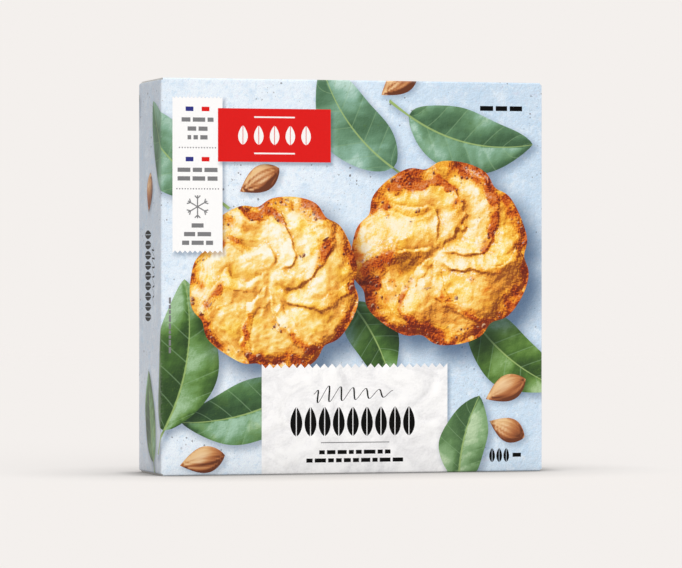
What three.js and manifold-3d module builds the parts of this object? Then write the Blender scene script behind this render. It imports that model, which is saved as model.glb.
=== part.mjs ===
// A shut folding carton for frozen food: one blank of coated board, creased, wrapped round into a
// sleeve, glued along the back right corner and closed top and bottom by overlapping end flaps.
// Millimetres, +Z up. The front panel faces -Y and the carton stands on its bottom end, with the
// origin at the middle of that end. It is shut and can't be seen into, so it is solid inside.
import * as THREE from "three";
import { mergeVertices } from "three/addons/utils/BufferGeometryUtils.js";
import Module from "manifold-3d";

// Driving dimensions
const WIDTH = 195;
const HEIGHT = 193;
const DEPTH = 46; // between the creases of the front and back panels
const BOARD = 0.4; // thickness of the board
const CREASE = 2 * BOARD; // outer radius of every folded crease
const BOW = 0.5; // how far the front and back panels stand out at their middle
const FLAP_INSET = 0.3; // an end flap is this much narrower than its panel at each side
const FREE_EDGE_GAP = 1; // from the outer end flap's free edge to the back of the carton
const FLAP_CORNER_CUT = 1.5; // length along the flap's sides of the cut at its free corners
const FLAP_NARROWING = FLAP_CORNER_CUT / 3; // how much each of those cuts narrows the free edge
const SEAM_GAP = 0.3; // from the back panel's glued edge to the plane of the right side panel

// Facets
const CREASE_STEPS = 5;
const WIDE_PANEL_STEPS = 26;
const SIDE_PANEL_STEPS = 6;
const HEIGHT_STEPS = 26;

const CUTTER_MARGIN = 1; // how far a cutting block reaches past what it cuts
const MERGE_DISTANCE = 1e-4; // points nearer than this become one
const ON_PLANE = 1e-6; // rounding allowed in a point on a panel's plane

const halfWidth = WIDTH / 2;
const halfDepth = DEPTH / 2;
const sleeveBottom = 2 * BOARD; // the side panels' own flaps lie under two layers of board
const sleeveTop = HEIGHT - 2 * BOARD;
const quarterTurn = Math.PI / 2;

const wasm = await Module();
wasm.setup();

// Closed geometry to an exact solid, and back to a geometry for a mesh
function solidOf(geometry) {
  const bare = geometry.index ? geometry.toNonIndexed() : geometry.clone();
  bare.deleteAttribute("normal");
  bare.deleteAttribute("uv");
  const merged = mergeVertices(bare, MERGE_DISTANCE);
  return new wasm.Manifold(
    new wasm.Mesh({
      numProp: 3,
      vertProperties: new Float32Array(merged.attributes.position.array),
      triVerts: new Uint32Array(merged.index.array),
    }),
  );
}

function geometryOf(solid) {
  const mesh = solid.getMesh();
  const geometry = new THREE.BufferGeometry();
  geometry.setAttribute("position", new THREE.BufferAttribute(mesh.vertProperties, 3));
  geometry.setIndex(new THREE.BufferAttribute(mesh.triVerts, 1));
  geometry.computeVertexNormals();
  return geometry;
}

// Points along a straight panel, without its last one
function straight(fromX, fromY, toX, toY, steps) {
  return Array.from({ length: steps }, (_, i) => [
    THREE.MathUtils.lerp(fromX, toX, i / steps),
    THREE.MathUtils.lerp(fromY, toY, i / steps),
  ]);
}

// Points round a crease of radius CREASE about a centre, without the last one
function crease(centreX, centreY, fromAngle, toAngle) {
  return Array.from({ length: CREASE_STEPS }, (_, i) => {
    const angle = THREE.MathUtils.lerp(fromAngle, toAngle, i / CREASE_STEPS);
    return [centreX + CREASE * Math.cos(angle), centreY + CREASE * Math.sin(angle)];
  });
}

// The sleeve's outline seen from above, anticlockwise from the front left crease. At the back right
// corner the side panel creases into a hidden glue tab, and the back panel ends over it in a cut edge.
function sleeveOutline() {
  const x = halfWidth - CREASE;
  const y = halfDepth - CREASE;
  const tabY = y - BOARD; // the glue tab lies one board inside the back panel
  const seamX = halfWidth - SEAM_GAP;
  const seamAngle = Math.acos((seamX - x) / CREASE);
  return [
    ...straight(-x, -halfDepth, x, -halfDepth, WIDE_PANEL_STEPS),
    ...crease(x, -y, -quarterTurn, 0),
    ...straight(halfWidth, -y, halfWidth, tabY, SIDE_PANEL_STEPS),
    ...crease(x, tabY, 0, seamAngle),
    [seamX, tabY + CREASE * Math.sin(seamAngle)],
    ...straight(seamX, halfDepth, -x, halfDepth, WIDE_PANEL_STEPS),
    ...crease(-x, y, quarterTurn, 2 * quarterTurn),
    ...straight(-halfWidth, y, -halfWidth, -y, SIDE_PANEL_STEPS),
    ...crease(-x, -y, 2 * quarterTurn, 3 * quarterTurn),
  ];
}

// How far a wide panel stands out at x across it and z up it: nothing at its creases
function bowAt(x, z) {
  const across = Math.max(0, 1 - (x / (halfWidth - CREASE)) ** 2);
  const up = Math.max(0, 1 - ((2 * z) / HEIGHT - 1) ** 2);
  return BOW * across * Math.sqrt(up);
}

// The sleeve as rings of its outline, lofted up the carton and closed at both ends
function sleeve() {
  const outline = sleeveOutline();
  const count = outline.length;
  const positions = [];
  const indices = [];
  for (let level = 0; level <= HEIGHT_STEPS; level++) {
    const z = THREE.MathUtils.lerp(sleeveBottom, sleeveTop, level / HEIGHT_STEPS);
    const inner = level > 0 && level < HEIGHT_STEPS;
    for (const [x, y] of outline) {
      const onWidePanel = inner && Math.abs(y) >= halfDepth - ON_PLANE;
      positions.push(x, onWidePanel ? y + Math.sign(y) * bowAt(x, z) : y, z);
    }
  }
  for (let level = 0; level < HEIGHT_STEPS; level++) {
    for (let i = 0; i < count; i++) {
      const a = level * count + i;
      const b = level * count + ((i + 1) % count);
      indices.push(a, b, b + count, a, b + count, a + count);
    }
  }
  const flat = outline.map(([x, y]) => new THREE.Vector2(x, y));
  for (const [a, b, c] of THREE.ShapeUtils.triangulateShape(flat, [])) {
    const top = HEIGHT_STEPS * count;
    indices.push(a, c, b, top + a, top + b, top + c);
  }
  const geometry = new THREE.BufferGeometry();
  geometry.setAttribute("position", new THREE.Float32BufferAttribute(positions, 3));
  geometry.setIndex(indices);
  return solidOf(geometry);
}

// A block that rounds the top and bottom creases of the two side panels
function sideCreases() {
  const profile = new THREE.Shape();
  const x = halfWidth - CREASE;
  const low = sleeveBottom + CREASE;
  const high = sleeveTop - CREASE;
  profile.absarc(x, high, CREASE, 0, quarterTurn);
  profile.absarc(-x, high, CREASE, quarterTurn, 2 * quarterTurn);
  profile.absarc(-x, low, CREASE, 2 * quarterTurn, 3 * quarterTurn);
  profile.absarc(x, low, CREASE, 3 * quarterTurn, 4 * quarterTurn);
  const length = DEPTH + 2 * (BOW + CUTTER_MARGIN);
  const block = new THREE.ExtrudeGeometry(profile, {
    depth: length,
    bevelEnabled: false,
    curveSegments: CREASE_STEPS,
  });
  block.rotateX(quarterTurn);
  block.translate(0, length / 2, 0);
  return solidOf(block);
}

// An end flap as a slab across the carton's width. Its profile is drawn in (Y, up from the sleeve's
// end), and it creases down into its own panel at hingeY and ends square at freeY.
function endFlap(hingeY, freeY, level, cornerCut) {
  const inward = Math.sign(freeY - hingeY);
  const overlap = BOARD; // how far the slab reaches into the sleeve that carries it
  const centreY = hingeY + inward * level;
  const profile = new THREE.Shape();
  profile.moveTo(hingeY, -overlap);
  for (let i = 0; i <= CREASE_STEPS; i++) {
    const angle = (i / CREASE_STEPS) * quarterTurn;
    profile.lineTo(centreY - inward * level * Math.cos(angle), level * Math.sin(angle));
  }
  profile.lineTo(freeY, level);
  profile.lineTo(freeY, -overlap);
  const half = halfWidth - CREASE - FLAP_INSET;
  const slab = new THREE.ExtrudeGeometry(profile, { depth: 2 * half, bevelEnabled: false });
  // Turned so that the profile's first axis is Y, its second is Z, and it runs along X
  slab.applyMatrix4(new THREE.Matrix4().set(0, 0, 1, -half, 1, 0, 0, 0, 0, 1, 0, 0, 0, 0, 0, 1));
  const flap = solidOf(slab);
  return cornerCut ? flap.subtract(cornerCuts(half, freeY, inward, level)) : flap;
}

// Two wedges that chamfer an outer flap's free corners, down to the flap below it
function cornerCuts(half, freeY, inward, level) {
  const cuts = [-1, 1].map((side) => {
    const pastSide = side * (half + CUTTER_MARGIN);
    const pastEdge = freeY + inward * CUTTER_MARGIN;
    const tip = side * (half - FLAP_NARROWING);
    const corner = new THREE.Shape([
      new THREE.Vector2(pastSide, pastEdge),
      new THREE.Vector2(pastSide, freeY - inward * FLAP_CORNER_CUT),
      new THREE.Vector2(side * half, freeY - inward * FLAP_CORNER_CUT),
      new THREE.Vector2(tip, freeY),
      new THREE.Vector2(tip, pastEdge),
    ]);
    const wedge = new THREE.ExtrudeGeometry(corner, {
      depth: BOARD + CUTTER_MARGIN,
      bevelEnabled: false,
    });
    wedge.translate(0, 0, level - BOARD);
    return solidOf(wedge);
  });
  return cuts[0].add(cuts[1]);
}

// Both flaps of one end: the back panel's flap lies under the front panel's, which shows
function endClosure() {
  const under = endFlap(halfDepth, -halfDepth + CREASE, BOARD, false);
  const outer = endFlap(-halfDepth, halfDepth - FREE_EDGE_GAP, 2 * BOARD, true);
  return under.add(outer);
}

function carton() {
  const end = endClosure();
  const top = end.translate([0, 0, sleeveTop]);
  const bottom = end.mirror([0, 0, 1]).translate([0, 0, sleeveBottom]);
  return sleeve().intersect(sideCreases()).add(top).add(bottom);
}

const coatedBoard = new THREE.MeshStandardMaterial({
  name: "printed_board",
  color: new THREE.Color(0.77, 0.84, 0.9),
  roughness: 0.5,
  metalness: 0,
});

const cartonMesh = new THREE.Mesh(geometryOf(carton()), coatedBoard);
cartonMesh.name = "carton";

const part = new THREE.Group();
part.add(cartonMesh);
export default part;
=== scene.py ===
"""A shut folding carton of frozen pastries, made from one printed blank, on a plain pale floor.

The blank is drawn flat, in millimetres, as its print is seen: s runs along the sleeve, from the back
panel's cut edge through the left side, the front (s = 0 at its middle) and the right side to the glue
tab, and z runs up the carton. The print is cut into regions of one ink each, and its triangles are
then folded round the carton.
"""

import math
from dataclasses import dataclass

import bpy
import numpy as np
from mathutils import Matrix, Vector
from mathutils.geometry import delaunay_2d_cdt
from mathutils.kdtree import KDTree


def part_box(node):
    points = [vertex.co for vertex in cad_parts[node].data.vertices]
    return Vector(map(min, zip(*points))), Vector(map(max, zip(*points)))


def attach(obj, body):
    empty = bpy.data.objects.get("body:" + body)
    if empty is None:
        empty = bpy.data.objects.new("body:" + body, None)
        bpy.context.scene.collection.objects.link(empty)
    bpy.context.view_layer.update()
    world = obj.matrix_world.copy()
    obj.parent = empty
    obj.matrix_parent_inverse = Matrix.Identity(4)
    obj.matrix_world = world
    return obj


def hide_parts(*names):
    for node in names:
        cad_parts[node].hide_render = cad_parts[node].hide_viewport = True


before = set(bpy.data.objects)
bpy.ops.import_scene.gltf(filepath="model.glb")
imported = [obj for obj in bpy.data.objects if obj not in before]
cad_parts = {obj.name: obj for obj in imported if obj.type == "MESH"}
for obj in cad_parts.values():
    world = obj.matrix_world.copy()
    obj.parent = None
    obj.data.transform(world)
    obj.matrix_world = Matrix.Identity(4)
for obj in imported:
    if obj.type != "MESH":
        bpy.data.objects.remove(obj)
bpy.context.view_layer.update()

MM = 0.001
QUARTER = math.pi / 2
node_low, node_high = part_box("carton")

# The carton and its board, in millimetres
WIDTH = (node_high.x - node_low.x) / MM
HEIGHT = (node_high.z - node_low.z) / MM
BOW = 0.5  # how far the solid's front and back panels stand out
DEPTH = (node_high.y - node_low.y) / MM - 2 * BOW
LAYER = 0.4  # from one stacked flap to the next
BOARD = 0.36  # the board itself, which leaves the stacked flaps just clear of each other
CREASE = 2 * LAYER
BULGE = 0.42  # how far the wide panels bow out
RIPPLE = 0.05  # height of the waves on them
SIDE_HOLLOW = 0.22  # how far the side panels pull in
END_SAG = 0.3  # how far the end flaps dip at their middle
FLAP_INSET = 0.3
FREE_EDGE_GAP = 1.0
FLAP_CORNER_CUT = 1.5
SEAM_GAP = 0.3
DUST_FLAP = 38.0
DUST_FLAP_CUT = 8.0
GLUE_TAB = 14.0
GLUE_TAB_END = 8.0  # how far short of the sleeve's ends the tab stops
GLUE_TAB_TAPER = 6.0

HALF = WIDTH / 2 - CREASE
SIDE_HALF = DEPTH / 2 - CREASE
SLEEVE_END = HEIGHT - 2 * LAYER
CREASE_ARC = CREASE * QUARTER
CREASE_ROWS = 5
ROW_STEP = 2.5
CORNER_WEAR = 14.0  # how far from the carton's corners its creases are worn most
EVEN_WEAR = 0.35  # wear along the rest of a crease, as a share of that
WEAR_SPREAD = 0.42  # how far it spreads across a crease, in crease widths


# Plane geometry

def columns(*parts):
    return np.stack(parts, 1)


def unit(angle):
    return np.array([math.cos(angle), math.sin(angle)])


def smooth(values, low, high):
    """0 at low and 1 at high, eased at both."""
    share = np.clip((values - low) / (high - low), 0, 1)
    return share * share * (3 - 2 * share)


def ripples(points, wavelength, rng, count=28):
    """Smooth random lumps about one unit high, as a sum of waves in all directions."""
    angles = rng.uniform(0, 2 * math.pi, count)
    phases = rng.uniform(0, 2 * math.pi, count)
    waves = 2 * math.pi / wavelength * rng.uniform(0.65, 1.45, count)
    total = np.zeros(len(points))
    for angle, phase, wave in zip(angles, phases, waves):
        total += np.sin(wave * (points @ unit(angle)) + phase)
    return total * math.sqrt(2 / count)


def subdivided(outline, step):
    """A closed outline with points no further apart than step."""
    points = []
    for start, end in zip(outline, np.roll(outline, -1, axis=0)):
        pieces = max(1, math.ceil(np.linalg.norm(end - start) / step))
        points += [start + (end - start) * i / pieces for i in range(pieces)]
    return np.array(points)


def near(points, outline, reach=0.0):
    """Which points lie within reach of an outline's box."""
    low, high = outline.min(0) - reach, outline.max(0) + reach
    return ((points >= low) & (points <= high)).all(1)


def inside(points, outline):
    """Which points lie inside a closed outline."""
    found = np.zeros(len(points), bool)
    rows = np.flatnonzero(near(points, outline))
    x, y = points[rows].T
    odd = np.zeros(len(rows), bool)
    for (x0, y0), (x1, y1) in zip(outline, np.roll(outline, -1, axis=0)):
        if y0 != y1:
            crosses = (y0 > y) != (y1 > y)
            odd ^= crosses & (x < x0 + (x1 - x0) * (y - y0) / (y1 - y0))
    found[rows] = odd
    return found


def outline_distance(points, outline):
    """Distance from each point to a closed outline, negative inside it."""
    least = np.full(len(points), np.inf)
    for start, end in zip(outline, np.roll(outline, -1, axis=0)):
        along = end - start
        length = along @ along
        if length > 0:
            share = np.clip((points - start) @ along / length, 0, 1)
            gap = points - start - share[:, None] * along
            least = np.minimum(least, (gap ** 2).sum(1))
    return np.sqrt(least) * np.where(inside(points, outline), -1, 1)


# The folded blank

@dataclass
class Fold:
    """How a panel's end flap turns in: where its crease starts, its radius and the flap's reach."""
    end: float
    radius: float
    reach: float
    cut: float
    insets: tuple


@dataclass
class Span:
    """A stretch of the sleeve's section, straight or creased, seen from above."""
    name: str
    start: float
    length: float
    anchor: np.ndarray  # its first point, or the centre of its crease
    heading: float  # the way it runs at its start
    fold: Fold = None

    @property
    def stop(self):
        return self.start + self.length

    @property
    def middle(self):
        return self.start + self.length / 2

    @property
    def creased(self):
        return self.name.endswith("crease")


def panel_folds():
    """The end flaps of each panel: the front's lie outermost, then the back's, then the sides'."""
    front_reach = DEPTH - FREE_EDGE_GAP - 2 * LAYER
    back_reach = DEPTH - LAYER - CREASE
    seam_inset = (WIDTH / 2 - SEAM_GAP) - (HALF - FLAP_INSET)
    side_end = SLEEVE_END - CREASE
    side_insets = (FLAP_INSET, FLAP_INSET)
    dust = Fold(side_end, CREASE, DUST_FLAP, DUST_FLAP_CUT, side_insets)
    return {
        "front": Fold(SLEEVE_END, 2 * LAYER, front_reach, FLAP_CORNER_CUT, side_insets),
        "back": Fold(SLEEVE_END, LAYER, back_reach, FLAP_CORNER_CUT, (seam_inset, FLAP_INSET)),
        "left": dust,
        "right": dust,
    }


def sleeve_spans():
    """The sleeve's section, walked from the back panel's cut edge round to the end of the glue tab."""
    folds = panel_folds()
    lengths = {
        "back": HALF + WIDTH / 2 - SEAM_GAP,
        "left": 2 * SIDE_HALF,
        "front": 2 * HALF,
        "right": 2 * SIDE_HALF - LAYER,  # the tab lies one layer inside the back panel
        "tab": GLUE_TAB,
    }
    spans = []
    point = np.array([WIDTH / 2 - SEAM_GAP, DEPTH / 2])
    heading = math.pi
    start = 0.0
    for name, length in lengths.items():
        spans.append(Span(name, start, length, point, heading, folds.get(name)))
        start += length
        outward = unit(heading - QUARTER)
        centre = point + length * unit(heading) - CREASE * outward
        if name != "tab":
            spans.append(Span(name + "_crease", start, CREASE_ARC, centre, heading))
            start += CREASE_ARC
            heading += QUARTER
            point = centre + CREASE * unit(heading - QUARTER)
    front = next(span for span in spans if span.name == "front")
    shift = front.middle
    for span in spans:
        span.start -= shift
    return spans


SPANS = sleeve_spans()
PANEL = {span.name: span for span in SPANS}


def bulge(name, x, y, z):
    """How far a panel stands out of its plane: wide panels bow out, side panels pull in."""
    up = 1 - np.clip(np.abs(z - HEIGHT / 2) / (SLEEVE_END - HEIGHT / 2), 0, 1) ** 4
    if name in ("front", "back"):
        waves = ripples(columns(x, z), 70, np.random.default_rng(len(name)), 12)
        across = np.clip(1 - (x / HALF) ** 2, 0, 1)
        return up * across * np.minimum(BULGE + RIPPLE * waves, BOW)
    if name in ("left", "right"):
        return -SIDE_HOLLOW * up * np.clip(1 - (y / SIDE_HALF) ** 2, 0, 1)
    return np.zeros(len(z))


def section(span, s):
    """Points on the sleeve's printed face at unrolled places s, and the way out of it there."""
    along = s - span.start
    if span.creased:
        turned = span.heading - QUARTER + along / CREASE
        outward = columns(np.cos(turned), np.sin(turned))
        return span.anchor + CREASE * outward, outward
    outward = np.tile(unit(span.heading - QUARTER), (len(s), 1))
    return span.anchor + along[:, None] * unit(span.heading), outward


def fold_span(span, s, z, depth):
    """Places in the carton of blank points on one span, depth millimetres under the print."""
    face, outward = section(span, s)
    half = HEIGHT / 2
    side = np.sign(z - half)
    end = span.fold.end if span.fold else SLEEVE_END + HEIGHT
    over = np.maximum(np.abs(z - half) - (end - half), 0)
    radius = span.fold.radius if span.fold else CREASE
    turned = np.minimum(over / radius, QUARTER)
    flat = np.maximum(over - radius * QUARTER, 0)
    inward = radius - (radius - depth) * np.cos(turned) + flat
    rise = (radius - depth) * np.sin(turned)
    height = half + side * (np.minimum(np.abs(z - half), end - half) + rise)
    out = bulge(span.name, face[:, 0], face[:, 1], z) * (over == 0) - inward
    plan = face + out[:, None] * outward
    sag_across = np.clip(1 - (plan[:, 0] / HALF) ** 2, 0, 1)
    sag_along = np.clip(1 - (plan[:, 1] / SIDE_HALF) ** 2, 0, 1)
    height -= side * END_SAG * sag_across * sag_along * (over > 0)
    return np.column_stack([plan, height])


def fold(points, depth=0.0):
    """Blank points to places in the carton."""
    places = np.zeros((len(points), 3))
    stops = np.array([span.stop for span in SPANS[:-1]])
    owners = np.searchsorted(stops, points[:, 0], side="left")
    for index, span in enumerate(SPANS):
        rows = owners == index
        if rows.any():
            places[rows] = fold_span(span, points[rows, 0], points[rows, 1], depth)
    return places


def end_flap(span):
    """The outline of one panel's top flap, from its left foot to its right one."""
    turn = span.fold
    left = span.start + turn.insets[0]
    right = span.stop - turn.insets[1]
    tip = turn.end + turn.radius * QUARTER + turn.reach
    return [
        (span.start, turn.end),
        (left, turn.end),
        (left, tip - turn.cut),
        (left + turn.cut / 3, tip),
        (right - turn.cut / 3, tip),
        (right, tip - turn.cut),
        (right, turn.end),
        (span.stop, turn.end),
    ]


def blank_outline():
    """The whole blank's cut edge, with the same flaps at its top and its bottom."""
    top = []
    for span in SPANS:
        if span.fold:
            top += end_flap(span)
        elif span.name == "tab":
            top.append((span.start, SLEEVE_END - GLUE_TAB_END))
            top.append((span.stop, SLEEVE_END - GLUE_TAB_END - GLUE_TAB_TAPER))
    bottom = [(s, HEIGHT - z) for s, z in reversed(top)]
    return subdivided(np.array(top + bottom), ROW_STEP)


OUTLINE = blank_outline()


def crease_rows():
    """Rows of points along every crease, as open lines."""
    rows = []
    for span in SPANS:
        if span.creased:
            before = SPANS[SPANS.index(span) - 1]
            after = SPANS[SPANS.index(span) + 1]
            ends = [
                neighbour.fold.end if neighbour.fold else SLEEVE_END - GLUE_TAB_END
                for neighbour in (before, after)
            ]
            for share in np.linspace(0, 1, CREASE_ROWS + 1):
                s = span.start + share * span.length
                top = ends[0] + share * (ends[1] - ends[0])
                rows.append(((s, HEIGHT - top), (s, top)))
        if span.fold:
            for share in np.linspace(0, 1, CREASE_ROWS + 1):
                over = share * span.fold.radius * QUARTER
                left = span.start + span.fold.insets[0]
                right = span.stop - span.fold.insets[1]
                for z in (span.fold.end + over, HEIGHT - span.fold.end - over):
                    rows.append(((left, z), (right, z)))
    return rows


def worn(across, along, half):
    """Wear at places across a crease and along it from its middle, in a crease of this half length."""
    near_corner = smooth(np.abs(along), half - CORNER_WEAR, half)
    return np.exp(-((across / WEAR_SPREAD) ** 2)) * (EVEN_WEAR + (1 - EVEN_WEAR) * near_corner)


def crease_wear(points):
    """How far rubbing has paled the print: on every crease, most at the carton's corners."""
    s, z = points.T
    up = z - HEIGHT / 2
    wear = np.zeros(len(points))
    for span in SPANS:
        beside = s - span.middle
        if span.creased:
            wear = np.maximum(wear, worn(beside / span.length, up, HEIGHT / 2))
        if span.fold:
            arc = span.fold.radius * QUARTER
            across = (np.abs(up) - (span.fold.end - HEIGHT / 2)) / arc - 0.5
            on_panel = np.abs(beside) <= span.length / 2
            wear = np.maximum(wear, worn(across, beside, span.length / 2) * on_panel)
    return wear


# What the print shows

@dataclass
class Motif:
    """One printed shape: its ink, its outline on the blank and what varies inside it."""
    ink: str
    outline: np.ndarray
    paint: object = None  # gives points their own coordinates and their tone
    spacing: float = 0.0  # between the mesh points that its tone needs
    shadow: tuple = None  # the printed shadow's shift, blur and strength


@dataclass
class Spot:
    """Where a shape lies on the blank, and how it is turned."""
    s: float
    z: float
    turn: float = 0.0

    @property
    def axes(self):
        return unit(math.radians(self.turn)), unit(math.radians(self.turn) + QUARTER)

    def onto(self, points):
        """The shape's own points to places on the blank."""
        across, up = self.axes
        points = np.asarray(points, float)
        return np.array([self.s, self.z]) + points[:, :1] * across + points[:, 1:] * up

    def back(self, points):
        """Places on the blank to the shape's own points."""
        across, up = self.axes
        moved = points - np.array([self.s, self.z])
        return columns(moved @ across, moved @ up)

    def beside(self, x, y=0.0, turn=0.0):
        """A spot that lies x across and y up from this one."""
        return Spot(*self.onto([(x, y)])[0], self.turn + turn)


PRINT_LIGHT = np.array([-0.47, 0.54, 0.70])  # lights the photographed food from the upper left
PRINT_LIGHT_ACROSS = (-0.66, 0.75, 0)
SLOPE_STEP = 0.35
LEAF_SHADOW = ((1.6, -2.1), 3.6, 0.62)
NUT_SHADOW = ((1.2, -1.4), 2.4, 0.45)
PASTRY_SHADOW = ((5.2, -6.2), 9.5, 0.95)
PAPER_SHADOW = ((1.0, -1.5), 1.4, 0.62)


def relief_light(height, points, depth):
    """How brightly a relief is lit at each point, and how strongly it shines."""
    here = height(points)
    slope_s = (height(points + (SLOPE_STEP, 0)) - here) / SLOPE_STEP
    slope_z = (height(points + (0, SLOPE_STEP)) - here) / SLOPE_STEP
    normal = columns(-depth * slope_s, -depth * slope_z, np.ones(len(points)))
    normal /= np.linalg.norm(normal, axis=1)[:, None]
    light = PRINT_LIGHT / np.linalg.norm(PRINT_LIGHT)
    halfway = light + np.array([0, 0, 1])
    halfway /= np.linalg.norm(halfway)
    return np.clip(normal @ light, 0, 1), np.clip(normal @ halfway, 0, 1)


LEAF_GRID = 1.3  # spacing of the mesh points that a shape's tone needs, in millimetres
NUT_GRID = 1.0
PASTRY_GRID = 0.75
VEINS = 6.5  # side veins along each half of a leaf
VEIN_SLANT = 0.9  # how far a side vein runs forward to the rim, in steps between veins


def lens(spot, along, upper, lower):
    """The outline between two curves that meet at both ends."""
    lower_curve = columns(along, lower)
    return spot.onto(np.concatenate([lower_curve, columns(along, upper)[-2:0:-1]]))


def leaf_profile(t):
    """A leaf's half width as a share of its widest, from its stalk at 0 to its tip at 1."""
    t = np.clip(t, 0, 1)
    return t ** 0.62 * (1 - t) ** 0.8 / 0.378


def leaf(spot, length, width, bend=0.0, seed=0, warmth=0.0, pale=0.0):
    """A lens-shaped leaf with a stalk. Its own coordinates are t along it, v across it and the
    distance from its midrib."""

    def spine(t):
        return bend * length * 4 * t * (1 - t)

    def half_width(t, side):
        wave = 1 + 0.05 * np.sin(2 * math.pi * 1.6 * t + seed + 1.7 * side)
        return width / 2 * leaf_profile(t) * wave

    def coordinates(points):
        local = spot.back(points)
        t = np.clip(local[:, 0] / length, 0, 1)
        off = local[:, 1] - spine(t)
        v = off / np.maximum(half_width(t, np.sign(off)), 0.4)
        return t, np.clip(v, -1.2, 1.2), off

    def height(points):
        t, v, _ = coordinates(points)
        rng = np.random.default_rng(seed)
        fold_up = 0.34 * width * np.abs(v) * (1 - 0.55 * np.abs(v)) * leaf_profile(t)
        quilt = 0.20 * np.abs(np.sin(math.pi * (VEINS * t - VEIN_SLANT * np.abs(v)))) ** 0.7
        roll = 2.6 * np.sin(2 * math.pi * t + seed) * v
        return fold_up + quilt + roll + 0.85 * ripples(points, 28, rng) + 0.05 * ripples(points, 6, rng)

    def paint(points):
        t, v, off = coordinates(points)
        lit, shine = relief_light(height, points, 0.75)
        light = 0.03 + 0.80 * smooth(lit, 0.37, 1.0) + 0.18 * shine ** 14
        warm = np.full(len(t), warmth + 0.1 * math.sin(seed * 2.3))
        return columns(t, v, off), columns(light, warm, np.full(len(t), pale))

    t = np.linspace(0, 1, max(16, int(length / LEAF_GRID)))
    outline = lens(spot, t * length, spine(t) + half_width(t, 1), spine(t) - half_width(t, -1))
    stalk = stalk_shape(spot, 4 * bend, 0.17 * length)
    return [stalk, Motif("leaf", outline, paint, LEAF_GRID, LEAF_SHADOW)]


def stalk_shape(spot, slope, length):
    """A leaf's stalk, which runs back from its foot and a little way up its midrib."""
    reach = np.linspace(-length, 0.12 * length, 8)
    thick = 0.5 + 0.35 * np.abs(reach) / length
    sway = reach * slope + 0.0035 * reach ** 2
    rim = np.concatenate([columns(reach, sway - thick), columns(reach, sway + thick)[::-1]])

    def paint(points):
        x, y = spot.back(points).T
        off = y - x * slope
        light = np.clip(0.62 + 0.25 * off, 0, 1)
        flat = np.zeros(len(points))
        return columns(x / length, flat, off), columns(light, flat + 1, flat)

    return Motif("leaf", spot.onto(rim), paint, 0, LEAF_SHADOW)


PETALS = 7
TWIST = 1.3  # radians that a petal's edge swirls from the middle to the rim
ROLL = 3.4  # radius of a petal's rolled edge, in millimetres


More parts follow.
